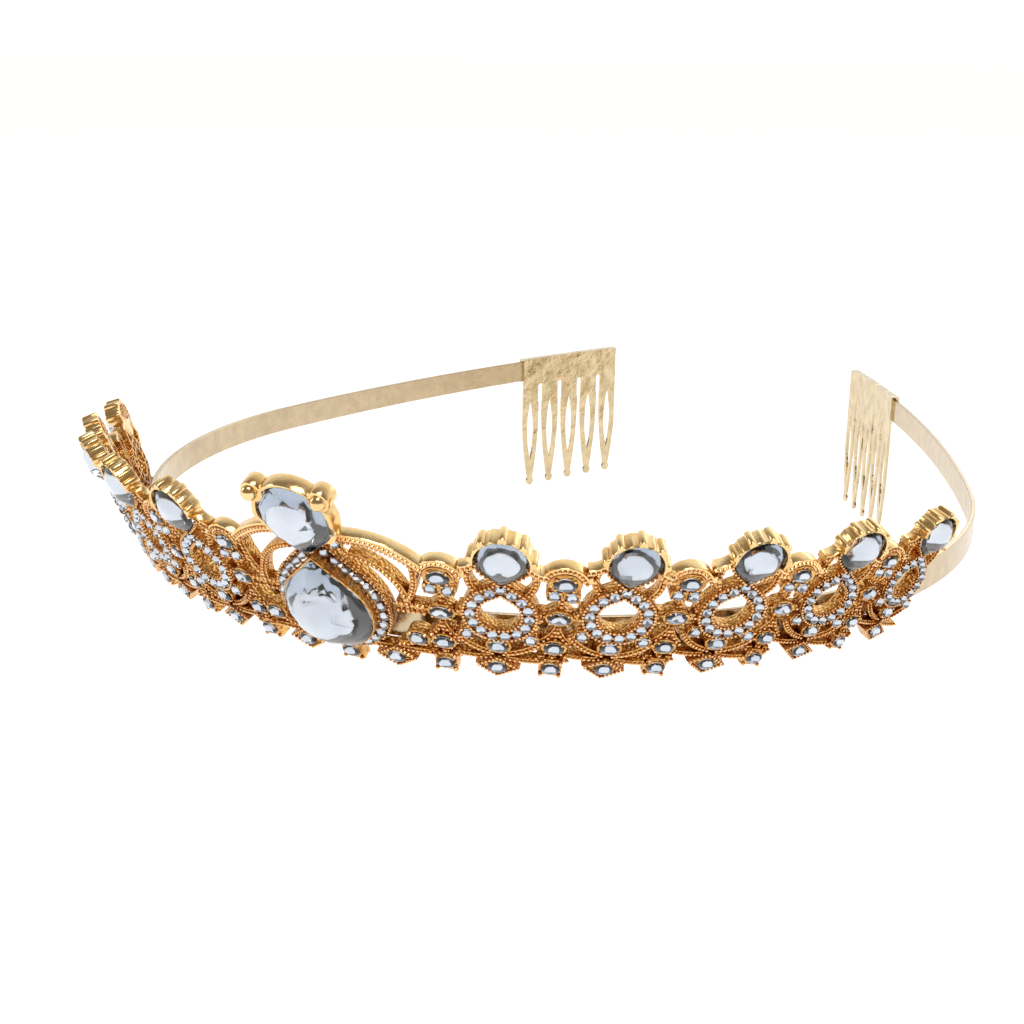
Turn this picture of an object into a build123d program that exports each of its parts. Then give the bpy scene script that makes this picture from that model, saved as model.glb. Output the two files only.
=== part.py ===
from build123d import *
from math import cos, radians, sin, sqrt
import os

# A gold rhinestone tiara. A flat spring band holds a flared openwork front, cast motif by motif,
# and a side comb is folded over each end of the band. The origin is the centre of the band's
# front curve, level with its lower edge. The front faces -Y, up is +Z and the wearer's head
# fills the ring. Millimetres.

# band
FRONT_RADIUS = 75.0        # outer face of the band across the front and sides
FRONT_HALF_TURN = 105.0    # degrees from the centre front to the start of each arm
ARM_RADIUS = 340.0         # outer face of the band along the arms
ARM_TURN = 17.0            # degrees turned by each arm
BAND_HEIGHT = 5.0
BAND_THICKNESS = 0.8
BAND_ROUNDING = 0.2

# side combs
COMB_WIDTH = 30.0
COMB_SHEET = 0.5
COMB_REACH = 27.5          # from the lower edge of the band down to the tooth tips
COMB_STRIP = 6.6           # solid strip above the gaps between the teeth
COMB_HEM = 5.8             # how far the folded hem comes down over the band
COMB_OVERHANG = 0.6        # comb sheet beyond the end of the band
TEETH = 5
TOOTH_WIDTH = 4.8
TOOTH_NECK = 1.25
TIP_DISC = 2.1
EYE_WIDTH = 2.1
EYE_TOP = 10.5             # below the top of the comb
EYE_BOTTOM = 26.5

# panel layout
HEM_PITCH = 7.2            # from one hem stone to the next along the hem
HEM_DROP = 1.3             # hem stone centres below the lower edge of the band
LAST_STEP = 11             # hem step of the outermost motif
FLARE_CENTRE = 25.5        # outward lean of the panel at the centre, degrees
FLARE_LOSS = 7.5           # less lean at the outermost motif
FAN_PER_STEP = 1.65        # sideways lean gained with each hem step
GRADING = 0.18             # how much smaller the outermost motif is
PLATE = 2.0                # thickness of the openwork
MOTIF_SIDE = 5.65          # solder face of a motif, from its centre line
FOOT_WIDTH = 3.0
FOOT_LOW = 1.9
FOOT_HIGH = 5.2
FOOT_REACH = 5.0

# small stones and their seats
SEAT_GAP = 0.06
SEAT_DEPTH = 0.6
GIRDLE = 0.75
CROWN = 0.45
TABLE_SHARE = 0.6          # table width over stone width
PAVE = 1.55
ROUND = 1.8
HEM_OVAL = (2.8, 2.2)
LOWER_OVAL = (2.9, 2.2)
MIDDLE_OVAL = (3.3, 2.2)
CLUSTER_OVAL = (3.3, 2.4)
SETTING_WALL = 0.6

# one side motif, heights above its hem stone
RING_RISE = 10.6
OPENING_RADIUS = 2.9
OPENING_POINT = 3.5
RING_WIDTH = 2.5
RING_COUNT = 15
LEAF_SPREAD = 4.45
LEAF_RISE = 6.3
LOWER_RISE = 4.3
PEAR_RISE = 21.1
PEAR_RADIUS = 3.8
PEAR_POINT = 4.6
PEAR_GIRDLE = 0.9
PEAR_CROWN = 1.6
CUP_WALL = 0.45
CUP_BACK = 0.2
CUP_FRONT = 3.0            # front of the collar round the top of the pear stone
CUP_FLOOR = 1.3
COLLAR_DROP = 0.6          # how far the collar comes down past the middle of the round
SCALLOP = 0.6              # radius of the ribs outside the cup
SCALLOP_TURN = 42.0
DIAMOND_HALF = (3.2, 2.05)
BAR = 1.15                 # width of the plain bars

# link between motifs
SQUARE_HALF = 1.75
MIDDLE_RISE = 10.3
CLUSTER_RISE = 17.0
CLUSTER_ROUND_RISE = 14.75
CLUSTER_ROUND_SPREAD = 1.2
RIM_RISE = 18.3

# centre
DROP_RISE = 9.55
DROP_RADIUS = 6.75
DROP_POINT = 9.4
DROP_GIRDLE = 0.9
DROP_CROWN = 3.0
DROP_FLOOR = 3.0
DROP_BEZEL = 4.1
BEZEL_WALL = 0.35
HALO_LINE = 1.2            # halo stone centres outside the drop stone
HALO_WIDTH = 2.1
HALO_COUNT = 27
CENTRE_HEM_RISE = -0.45    # the middle hem stone sits a little low, clear of the halo
NECK_HALF = 2.9
NECK_TOP = 28.0
NECK_PLACES = ((1.5, 21.8), (3.5, 21.2))
CREST_RISE = 27.0
CREST_RADIUS = 5.4
CREST_POINT = 6.6
CREST_GIRDLE = 0.9
CREST_CROWN = 1.9
CREST_SOLE = 22.7          # lowest point of the crest setting; the stone's tip hangs over it
CREST_WALL = 0.8
CREST_DEPTH = 2.6
CREST_FLOOR = 1.2          # above the back of the crest setting
CREST_BUMP = 1.7
CREST_BEAD = 1.25
CREST_BUMP_ANGLE = 38.0

MOTIF_STEPS = (3, 5, 7, 9, 11)
LINK_STEPS = (2, 4, 6, 8, 10)
SIDES = (("left", -1), ("right", 1))


# outlines


def pear(radius, point, grow=0.0):
    """A round with two straight flanks that meet in a point above, grown evenly by an allowance."""
    point *= (radius + grow) / radius
    radius += grow
    rise = radius**2 / point
    across = sqrt(radius**2 - rise**2)
    right = Line((across, rise), (0, point))
    left = Line((0, point), (-across, rise))
    base = ThreePointArc((-across, rise), (0, -radius), (across, rise))
    return make_face([right.edge(), left.edge(), base.edge()])


def oval(width, height, gap=0.0):
    if width == height:
        return Circle(width / 2 + gap)
    return Ellipse(width / 2 + gap, height / 2 + gap)


def both(x, y):
    return [Pos(-x, y), Pos(x, y)]


def arc_bar(start, middle, end, width=BAR):
    return SlotArc(ThreePointArc(start, middle, end), width)


def mirrored(sketch):
    return sketch + mirror(sketch, about=Plane.YZ)


def sized(sketch, size):
    return scale(sketch, by=size, about=(0, 0, 0))


def raised(sketch, low, high):
    return extrude(Pos(0, 0, low) * sketch, amount=high - low)


# places


def grade(step):
    return 1 - GRADING * (step / LAST_STEP) ** 2


def panel_plane(step):
    """Plane of the panel's back at a hem step: X along the hem, Y up the panel, Z outward."""
    heading = step * HEM_PITCH / FRONT_RADIUS
    flare = radians(FLARE_CENTRE - FLARE_LOSS * (step / LAST_STEP) ** 2)
    fan = radians(FAN_PER_STEP * step)
    tangent = Vector(cos(heading), sin(heading), 0)
    outward = Vector(sin(heading), -cos(heading), 0)
    upright = Vector(0, 0, cos(flare)) + outward * sin(flare)
    facing = outward * cos(flare) - Vector(0, 0, sin(flare))
    origin = outward * FRONT_RADIUS - Vector(0, 0, HEM_DROP)
    return Plane(origin=origin, x_dir=tangent * cos(fan) - upright * sin(fan), z_dir=facing)


def beside(step, side):
    """Block that covers everything on the motif's own side of one of its solder faces."""
    face = MOTIF_SIDE * grade(step)
    return panel_plane(step) * Pos(side * (face - 50), 20, 0) * Box(100, 120, 60)


def foot(size):
    """Solder foot that runs back from the openwork to the outer face of the band."""
    height = FOOT_HIGH - FOOT_LOW
    return Pos(0, (FOOT_HIGH + FOOT_LOW) / 2, (PLATE / 2 - FOOT_REACH) / 2) * Box(
        FOOT_WIDTH * size, height, FOOT_REACH + PLATE / 2
    )


def band_core():
    """Everything inside the outer face of the band's front curve, from its lower edge up."""
    return Cylinder(FRONT_RADIUS, 60, align=(Align.CENTER, Align.CENTER, Align.MIN))


# small stones


def seat_cuts(seats, floor, top):
    cuts = Sketch() + [Pos(x, y) * oval(w, h, SEAT_GAP) for x, y, w, h in seats]
    return raised(cuts, floor, top)


def small_stones(seats, floor):
    stones = []
    for x, y, width, height in seats:
        lower = Pos(0, 0, GIRDLE) * oval(width, height)
        upper = Pos(0, 0, GIRDLE + CROWN) * oval(width * TABLE_SHARE, height * TABLE_SHARE)
        stone = extrude(oval(width, height), amount=GIRDLE) + loft([lower.face(), upper.face()])
        stones.append((Pos(x, y, floor) * stone).solid())
    return stones


def large_stone(radius, point, girdle, crown, table):
    """Girdle prism with a crown that narrows to a flat table."""
    outline = pear(radius, point)
    lower = Pos(0, 0, girdle) * outline
    upper = Pos(0, 0, girdle + crown) * scale(outline, by=table)
    return extrude(outline, amount=girdle) + loft([lower.face(), upper.face()])


# side motifs


def motif_seats(step):
    size = grade(step)
    ring = pear(OPENING_RADIUS, OPENING_POINT, RING_WIDTH / 2).face().outer_wire()
    top = max(ring.vertices(), key=lambda vertex: vertex.Y)
    start = ring.param_at_point(Vector(*top))
    points = [ring @ ((start + k / RING_COUNT) % 1) for k in range(RING_COUNT)]
    rows = [(p.X, p.Y + RING_RISE, PAVE, PAVE) for p in points]
    rows += [(side * LEAF_SPREAD, LEAF_RISE, ROUND, ROUND) for side in (-1, 1)]
    rows += [(0, LOWER_RISE, *LOWER_OVAL), (0, 0, *HEM_OVAL)]
    return [tuple(value * size for value in row) for row in rows]


def hem_diamond():
    across, up = DIAMOND_HALF
    return make_face(Polyline((across, 0), (0, up), (-across, 0), (0, -up), close=True).edges())


def motif_profile():
    ring = Pos(0, RING_RISE) * pear(OPENING_RADIUS, OPENING_POINT, RING_WIDTH)
    profile = ring + hem_diamond()
    profile += Pos(0, LOWER_RISE) * oval(*LOWER_OVAL, SETTING_WALL)
    profile += Pos(0, LOWER_RISE / 2) * Rectangle(BAR, LOWER_RISE)
    profile += [place * Circle(ROUND / 2 + 0.3) for place in both(LEAF_SPREAD, LEAF_RISE)]
    profile += Pos(0, 1.5) * Rectangle(2 * MOTIF_SIDE, BAR)
    profile += Pos(0, MIDDLE_RISE) * Rectangle(2 * MOTIF_SIDE, 2 * BAR)
    bars = arc_bar((0.8, 2.4), (3.5, 3.3), (6.4, 6.0))
    bars += arc_bar((3.2, 20.6), (4.3, 18.9), (6.4, RIM_RISE))
    bars += arc_bar((3.4, 14.4), (4.5, 16.1), (4.6, 18.6))
    profile += mirrored(bars)
    profile -= Pos(0, RING_RISE) * pear(OPENING_RADIUS, OPENING_POINT)
    return profile & (Pos(0, 10) * Rectangle(2 * MOTIF_SIDE, 60))


def cup_outline(grow):
    return Pos(0, PEAR_RISE) * Rot(0, 0, 180) * pear(PEAR_RADIUS, PEAR_POINT, grow)


def cup_profile():
    ribs = [
        Pos(0, PEAR_RISE) * Rot(0, 0, turn * SCALLOP_TURN) * Pos(0, PEAR_RADIUS + CUP_WALL) * Circle(SCALLOP)
        for turn in range(-2, 3)
    ]
    return cup_outline(CUP_WALL) + ribs


def motif_casting(step):
    size = grade(step)
    casting = raised(sized(motif_profile(), size), 0, PLATE)
    casting += raised(sized(cup_profile(), size), CUP_BACK, PLATE)
    collar = cup_profile() & (Pos(0, PEAR_RISE - COLLAR_DROP + 10) * Rectangle(20, 20))
    casting += raised(sized(collar, size), PLATE, CUP_FRONT)
    casting -= raised(sized(cup_outline(SEAT_GAP), size), CUP_FLOOR, CUP_FRONT + 1)
    casting += foot(size)
    casting -= seat_cuts(motif_seats(step), PLATE - SEAT_DEPTH, PLATE + 1)
    return panel_plane(step) * casting - band_core()


def motif_pear(step):
    size = grade(step)
    stone = large_stone(PEAR_RADIUS * size, PEAR_POINT * size, PEAR_GIRDLE, PEAR_CROWN, TABLE_SHARE)
    return panel_plane(step) * Pos(0, PEAR_RISE * size, CUP_FLOOR) * Rot(0, 0, 180) * stone


def motif_stones(step):
    place = panel_plane(step)
    return [place * stone for stone in small_stones(motif_seats(step), PLATE - SEAT_DEPTH)]


# links


def link_seats(step):
    size = grade(step)
    spread = CLUSTER_ROUND_SPREAD
    rows = [(0, 0, *HEM_OVAL), (0, LOWER_RISE, *LOWER_OVAL)]
    rows += [(0, MIDDLE_RISE, *MIDDLE_OVAL), (0, CLUSTER_RISE, *CLUSTER_OVAL)]
    rows += [(side * spread, CLUSTER_ROUND_RISE, ROUND, ROUND) for side in (-1, 1)]
    return [tuple(value * size for value in row) for row in rows]


def link_profile():
    profile = Rectangle(2 * SQUARE_HALF, 2 * SQUARE_HALF) + Pos(0, 1.5) * Rectangle(10, BAR)
    profile += Pos(0, LOWER_RISE) * oval(*LOWER_OVAL, SETTING_WALL)
    profile += Pos(0, MIDDLE_RISE) * oval(*MIDDLE_OVAL, SETTING_WALL)
    profile += Pos(0, MIDDLE_RISE) * Rectangle(10, BAR)
    profile += Pos(0, CLUSTER_RISE) * oval(*CLUSTER_OVAL, SETTING_WALL + 0.2)
    profile += [p * Circle(ROUND / 2 + 0.45) for p in both(CLUSTER_ROUND_SPREAD, CLUSTER_ROUND_RISE)]
    profile += Pos(0, RIM_RISE) * Rectangle(14, BAR)
    profile += Pos(0, CLUSTER_ROUND_RISE / 2) * Rectangle(BAR, CLUSTER_ROUND_RISE)
    return profile + mirrored(arc_bar((0, 8.2), (0.9, 6.2), (3.2, 3.6)))


def link_casting(step):
    size = grade(step)
    inner, outer = (step - 1, step + 1) if step > 0 else (step + 1, step - 1)
    side = 1 if step > 0 else -1
    casting = raised(sized(link_profile(), size), 0, PLATE) + foot(size * 0.8)
    casting -= seat_cuts(link_seats(step), PLATE - SEAT_DEPTH, PLATE + 1)
    return panel_plane(step) * casting - beside(inner, side) - beside(outer, -side) - band_core()


def link_stones(step):
    place = panel_plane(step)
    return [place * stone for stone in small_stones(link_seats(step), PLATE - SEAT_DEPTH)]


# centre


def drop_outline(grow):
    return Pos(0, DROP_RISE) * pear(DROP_RADIUS, DROP_POINT, grow)


def halo_seats():
    line = drop_outline(HALO_LINE).face().outer_wire()
    points = [line @ (k / HALO_COUNT) for k in range(HALO_COUNT)]
    return [(p.X, p.Y, PAVE, PAVE) for p in points]


def neck_seats():
    return [(side * x, y, PAVE, PAVE) for x, y in NECK_PLACES for side in (-1, 1)]


def wing_seats():
    return [(0, 0, *HEM_OVAL), (4.0, 4.6, *LOWER_OVAL)]


def wing_profile():
    """Openwork from the medallion out to the first link, with +X away from the centre."""
    profile = hem_diamond() + Pos(-1, 1.5) * Rectangle(2 * MOTIF_SIDE + 2, BAR)
    profile += Pos(4.0, 4.6) * oval(*LOWER_OVAL, SETTING_WALL)
    profile += Pos(3, MIDDLE_RISE) * Rectangle(2 * MOTIF_SIDE - 4, 2 * BAR)
    profile += arc_bar((0.8, 2.4), (3.5, 3.3), (6.4, 6.0))
    profile += arc_bar((-6.4, 21.4), (-1.0, 21.8), (6.4, RIM_RISE), BAR + 0.2)
    profile += arc_bar((-4.0, 19.0), (1.4, 16.0), (3.4, 10.0))
    profile += arc_bar((3.6, 12.0), (4.8, 15.0), (5.0, 18.8))
    return profile & (Pos(MOTIF_SIDE * grade(1) - 20, 10) * Rectangle(40, 60))


def centre_medallion():
    middle = drop_outline(HALO_WIDTH)
    middle += Pos(0, CENTRE_HEM_RISE) * Rectangle(2 * SQUARE_HALF, 2 * SQUARE_HALF)
    middle += Pos(0, (DROP_RISE + NECK_TOP) / 2) * Rectangle(2 * NECK_HALF, NECK_TOP - DROP_RISE)
    middle += [place * Circle(PAVE / 2 + 0.5) for place in both(*NECK_PLACES[1])]
    casting = raised(middle, 0, PLATE) + foot(2)
    casting += raised(drop_outline(BEZEL_WALL), PLATE, DROP_BEZEL)
    casting = panel_plane(0) * casting
    wing = raised(wing_profile(), 0, PLATE)
    casting += panel_plane(1) * wing
    casting += mirror(panel_plane(1) * wing, about=Plane.YZ)
    seats = halo_seats() + neck_seats() + [(0, CENTRE_HEM_RISE, *HEM_OVAL)]
    casting -= panel_plane(0) * seat_cuts(seats, PLATE - SEAT_DEPTH, PLATE + 1)
    casting -= panel_plane(0) * raised(drop_outline(SEAT_GAP), DROP_FLOOR, DROP_BEZEL + 1)
    cut = panel_plane(1) * seat_cuts(wing_seats(), PLATE - SEAT_DEPTH, PLATE + 1)
    return casting - cut - mirror(cut, about=Plane.YZ) - band_core()


def centre_drop():
    stone = large_stone(DROP_RADIUS, DROP_POINT, DROP_GIRDLE, DROP_CROWN, TABLE_SHARE)
    return panel_plane(0) * Pos(0, DROP_RISE, DROP_FLOOR) * stone


def crest_outline(grow):
    return Pos(0, CREST_RISE) * Rot(0, 0, 180) * pear(CREST_RADIUS, CREST_POINT, grow)


def crest_setting():
    shoulder = CREST_RADIUS + 1.0
    across = shoulder * cos(radians(CREST_BUMP_ANGLE))
    up = CREST_RISE + shoulder * sin(radians(CREST_BUMP_ANGLE))
    profile = crest_outline(CREST_WALL) + [place * Circle(CREST_BUMP) for place in both(across, up)]
    profile &= Pos(0, CREST_SOLE + 10) * Rectangle(40, 20)
    setting = raised(profile, 0, CREST_DEPTH)
    setting -= raised(crest_outline(SEAT_GAP), CREST_FLOOR, CREST_DEPTH + 1)
    for place in both(across + 0.3, up + 0.3):
        setting += place * Pos(0, 0, CREST_DEPTH) * Sphere(CREST_BEAD)
    return panel_plane(0) * Pos(0, 0, PLATE) * setting


def crest_pear():
    stone = large_stone(CREST_RADIUS, CREST_POINT, CREST_GIRDLE, CREST_CROWN, TABLE_SHARE)
    place = Pos(0, CREST_RISE, PLATE + CREST_FLOOR)
    return panel_plane(0) * place * Rot(0, 0, 180) * stone


def halo_stones():
    floor = PLATE - SEAT_DEPTH
    return [panel_plane(0) * stone for stone in small_stones(halo_seats(), floor)]


def centre_small_stones():
    floor = PLATE - SEAT_DEPTH
    seats = neck_seats() + [(0, CENTRE_HEM_RISE, *HEM_OVAL)]
    stones = [panel_plane(0) * stone for stone in small_stones(seats, floor)]
    wing = [panel_plane(1) * stone for stone in small_stones(wing_seats(), floor)]
    return stones + wing + [mirror(stone, about=Plane.YZ) for stone in wing]


# band and combs


def arm_centre():
    turn = radians(FRONT_HALF_TURN)
    offset = ARM_RADIUS - FRONT_RADIUS
    return -offset * sin(turn), offset * cos(turn)


def arm_point(radius, turn):
    x, y = arm_centre()
    heading = radians(FRONT_HALF_TURN + turn)
    return x + radius * sin(heading), y - radius * cos(heading)


def arm_sector(inner, outer, start, end):
    """Plan of a slice of the right arm between two radii and two turns past the front curve."""
    middle = (start + end) / 2
    edges = [
        ThreePointArc(arm_point(outer, start), arm_point(outer, middle), arm_point(outer, end)),
        Line(arm_point(outer, end), arm_point(inner, end)),
        ThreePointArc(arm_point(inner, end), arm_point(inner, middle), arm_point(inner, start)),
        Line(arm_point(inner, start), arm_point(outer, start)),
    ]
    return make_face([line.edge() for line in edges])


def band():
    """One flat strip: a wide front curve that runs on into the two nearly straight arms."""
    inner = FRONT_RADIUS - BAND_THICKNESS
    turn = radians(FRONT_HALF_TURN)
    corner = (FRONT_RADIUS * sin(turn), -FRONT_RADIUS * cos(turn))
    inside = (inner * sin(turn), -inner * cos(turn))
    edges = [
        ThreePointArc((-corner[0], corner[1]), (0, -FRONT_RADIUS), corner),
        Line(corner, inside),
        ThreePointArc(inside, (0, -inner), (-inside[0], inside[1])),
        Line((-inside[0], inside[1]), (-corner[0], corner[1])),
    ]
    front = make_face([line.edge() for line in edges])
    arm = arm_sector(ARM_RADIUS - BAND_THICKNESS, ARM_RADIUS, 0, ARM_TURN)
    strip = extrude(front, amount=BAND_HEIGHT)
    strip += extrude(arm, amount=BAND_HEIGHT)
    strip += extrude(mirror(arm, about=Plane.YZ), amount=BAND_HEIGHT)
    rims = strip.edges().filter_by(GeomType.CIRCLE)
    return fillet(rims, BAND_ROUNDING)


def comb_turns():
    """Where the comb starts and ends along the arm, in degrees past the front curve."""
    end = ARM_TURN + COMB_OVERHANG / radians(ARM_RADIUS)
    return end - COMB_WIDTH / radians(ARM_RADIUS), end


def comb_plane():
    start, end = comb_turns()
    heading = radians(FRONT_HALF_TURN + (start + end) / 2)
    x, y = arm_point(ARM_RADIUS - BAND_THICKNESS, (start + end) / 2)
    return Plane(
        origin=(x, y, 0),
        x_dir=(cos(heading), sin(heading), 0),
        z_dir=(sin(heading), -cos(heading), 0),
    )


def eye_slot(top):
    high = top - EYE_TOP
    low = top - EYE_BOTTOM
    waist = high - 0.42 * (high - low)
    right = ThreePointArc((0, high), (EYE_WIDTH / 2, waist), (0, low))
    left = ThreePointArc((0, low), (-EYE_WIDTH / 2, waist), (0, high))
    return make_face([right.edge(), left.edge()])


def tooth(top):
    """Slim loop that narrows to a neck with a round disc at its tip."""
    high = top - COMB_STRIP - TOOTH_NECK
    disc = TIP_DISC / 2 - COMB_REACH
    low = disc + TIP_DISC / 4
    half = TOOTH_WIDTH / 2
    belly = (half * 0.93, high - 0.55 * (high - low))
    side = ThreePointArc((half, high), belly, (TOOTH_NECK / 2, low))
    other = ThreePointArc((-TOOTH_NECK / 2, low), (-belly[0], belly[1]), (-half, high))
    edges = [side, Line((TOOTH_NECK / 2, low), (-TOOTH_NECK / 2, low)), other]
    edges.append(Line((-half, high), (half, high)))
    return make_face([line.edge() for line in edges]) + Pos(0, disc) * Circle(TIP_DISC / 2)


def comb_outline(top):
    pitch = (COMB_WIDTH - TOOTH_WIDTH) / (TEETH - 1)
    gap = pitch - TOOTH_WIDTH
    low = top - COMB_STRIP - TOOTH_NECK
    outline = Pos(0, (top + low) / 2) * Rectangle(COMB_WIDTH, top - low)
    for index in range(TEETH):
        across = (index - (TEETH - 1) / 2) * pitch
        outline += Pos(across, 0) * tooth(top)
        outline -= Pos(across, 0) * eye_slot(top)
    for index in range(TEETH - 1):
        across = (index - (TEETH - 2) / 2) * pitch
        outline -= Pos(across, top - COMB_STRIP - gap / 2) * Circle(gap / 2)
        outline -= Pos(across, low - gap) * Rectangle(gap, 2 * (top - COMB_STRIP - gap / 2 - low + gap))
    return outline


def comb():
    """Right comb: a stamped sheet on the head side, its top hem folded out over the band."""
    start, end = comb_turns()
    top = BAND_HEIGHT + COMB_SHEET
    inside = ARM_RADIUS - BAND_THICKNESS
    plan = arm_sector(inside - COMB_SHEET, inside, start, end)
    sheet = Pos(0, 0, -COMB_REACH - 1) * extrude(plan, amount=COMB_REACH + top + 2)
    sheet &= extrude(comb_plane() * comb_outline(top), amount=6, both=True)
    fold = arm_sector(inside - COMB_SHEET, ARM_RADIUS + COMB_SHEET, start, end)
    hem = arm_sector(ARM_RADIUS, ARM_RADIUS + COMB_SHEET, start, end)
    sheet += Pos(0, 0, BAND_HEIGHT) * extrude(fold, amount=COMB_SHEET)
    sheet += Pos(0, 0, top - COMB_HEM) * extrude(hem, amount=COMB_HEM)
    return sheet


# files


def save(name, shape):
    if isinstance(shape, list):
        shape = Compound(children=shape) if len(shape) > 1 else shape[0]
    export_step(shape, f"parts/{name}.step")


def main():
    os.makedirs("parts", exist_ok=True)
    right_comb = comb()
    save("band", band())
    save("comb_right", right_comb)
    save("comb_left", mirror(right_comb, about=Plane.YZ))
    save("centre_medallion", centre_medallion())
    save("centre_drop_stone", centre_drop())
    save("halo_stones", halo_stones())
    save("centre_small_stones", centre_small_stones())
    save("crest_setting", crest_setting())
    save("crest_stone", crest_pear())
    for name, side in SIDES:
        for number, step in enumerate(MOTIF_STEPS, 1):
            save(f"motif_{name}_{number}", motif_casting(side * step))
            save(f"pear_stone_{name}_{number}", motif_pear(side * step))
            save(f"motif_stones_{name}_{number}", motif_stones(side * step))
        for number, step in enumerate(LINK_STEPS, 1):
            save(f"link_{name}_{number}", link_casting(side * step))
            save(f"link_stones_{name}_{number}", link_stones(side * step))


main()
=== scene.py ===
# %% [markdown]
# # A gold tiara, piece by piece
# A tiara like this is a row of castings soldered to a spring strip, plated, and then set with
# stones. The packed model gives the frame: where every casting, stone, comb and the band lies.
# It could be shown as it is, but its plain solids have no beading, no prongs and no cut backs.
# So this script makes those pieces again, with their small detail, in the same places.

# %% Load the frame
import math
import random
import bmesh
import bpy
import numpy as np
from mathutils import Matrix, Vector


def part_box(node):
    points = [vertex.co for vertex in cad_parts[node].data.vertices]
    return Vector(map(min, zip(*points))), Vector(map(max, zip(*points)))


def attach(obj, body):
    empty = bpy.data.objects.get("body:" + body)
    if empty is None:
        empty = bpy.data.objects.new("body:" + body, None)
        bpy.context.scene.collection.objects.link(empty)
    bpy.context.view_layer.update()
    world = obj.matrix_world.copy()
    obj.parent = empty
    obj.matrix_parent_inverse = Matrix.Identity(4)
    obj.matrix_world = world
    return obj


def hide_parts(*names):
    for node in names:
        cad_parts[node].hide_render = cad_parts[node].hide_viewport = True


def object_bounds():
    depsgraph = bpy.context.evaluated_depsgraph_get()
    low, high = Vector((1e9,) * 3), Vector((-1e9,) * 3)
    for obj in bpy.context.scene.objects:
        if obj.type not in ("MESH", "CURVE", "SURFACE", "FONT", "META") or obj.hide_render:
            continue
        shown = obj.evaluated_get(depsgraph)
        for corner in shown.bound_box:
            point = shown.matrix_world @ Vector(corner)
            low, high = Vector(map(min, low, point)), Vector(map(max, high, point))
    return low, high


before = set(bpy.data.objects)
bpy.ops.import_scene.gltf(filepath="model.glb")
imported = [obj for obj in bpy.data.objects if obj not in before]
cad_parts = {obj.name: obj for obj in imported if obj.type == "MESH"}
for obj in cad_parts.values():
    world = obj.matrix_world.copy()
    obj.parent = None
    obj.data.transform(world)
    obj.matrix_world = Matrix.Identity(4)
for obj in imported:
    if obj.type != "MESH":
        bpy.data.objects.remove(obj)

CAD_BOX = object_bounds()
MM = 0.001
print("frame nodes", len(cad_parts))

# %% [markdown]
# ## Where the castings stand
# The openwork front is a row of flat castings, side by side on the band. Each one could be
# placed by hand, but ten motifs would then need ten places and ten turns. One formula does it
# instead: so many hem pitches along the curve, a lean outwards that fades towards the ends, a
# sideways fan, and a size that shrinks a little. The band's front curve comes from the frame
# and the other sizes are the tiara's own, in millimetres.

# %% Layout of the panel
FRONT_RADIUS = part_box("band")[1].x / MM
HEM_PITCH = 7.2
HEM_DROP = 1.3
LAST_STEP = 11
FLARE_CENTRE = 25.5
FLARE_LOSS = 7.5
FAN_PER_STEP = 1.65
GRADING = 0.18
PLATE = 2.0
MOTIF_STEPS = (3, 5, 7, 9, 11)
LINK_STEPS = (2, 4, 6, 8, 10)
SIDES = (("left", -1), ("right", 1))


def grade(step):
    """How large a casting is, against one at the centre."""
    return 1 - GRADING * (step / LAST_STEP) ** 2


def panel_matrix(step):
    """Turns panel millimetres (along the hem, up, outward) into the row frame in metres."""
    heading = step * HEM_PITCH / FRONT_RADIUS
    flare = math.radians(FLARE_CENTRE - FLARE_LOSS * (step / LAST_STEP) ** 2)
    fan = math.radians(FAN_PER_STEP * step)
    tangent = Vector((math.cos(heading), math.sin(heading), 0))
    outward = Vector((math.sin(heading), -math.cos(heading), 0))
    upright = Vector((0, 0, math.cos(flare))) + outward * math.sin(flare)
    facing = outward * math.cos(flare) - Vector((0, 0, math.sin(flare)))
    across = tangent * math.cos(fan) - upright * math.sin(fan)
    up = facing.cross(across)
    origin = outward * FRONT_RADIUS - Vector((0, 0, HEM_DROP))
    turn = Matrix((across, up, facing)).transposed().to_4x4()
    return Matrix.Scale(MM, 4) @ Matrix.Translation(origin) @ turn


print("front radius", round(FRONT_RADIUS, 2))

# %% [markdown]
# ## Materials as expressions
# A Blender material is a graph of nodes. It could be wired socket by socket, but then a short
# sum takes many lines. `Wire` wraps one socket, so that + - and * add the Math node
# themselves, and a sum in a finish reads like a sum.

# %% Wires
class Wire:
    """One output socket that can take part in an expression."""

    def __init__(self, finish, socket):
        self.finish = finish
        self.socket = socket

    def math(self, operation, *values):
        return self.finish.add("ShaderNodeMath", {"operation": operation}, dict(enumerate(values)))

    def __add__(self, other):
        return self.math("ADD", self, other)

    def __sub__(self, other):
        return self.math("SUBTRACT", self, other)

    def __rsub__(self, other):
        return self.math("SUBTRACT", other, self)

    def __mul__(self, other):
        return self.math("MULTIPLY", self, other)

    __radd__ = __add__
    __rmul__ = __mul__


print("wire operators + - *")

# %% [markdown]
# All other nodes come from one method, `add`, which takes a node's type, its settings and what
# its sockets get. `Finish` holds it, next to short names for the few nodes that the metals and
# stones share. The room's light is a node graph too, so a finish can belong to a material or
# to the world.

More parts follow.
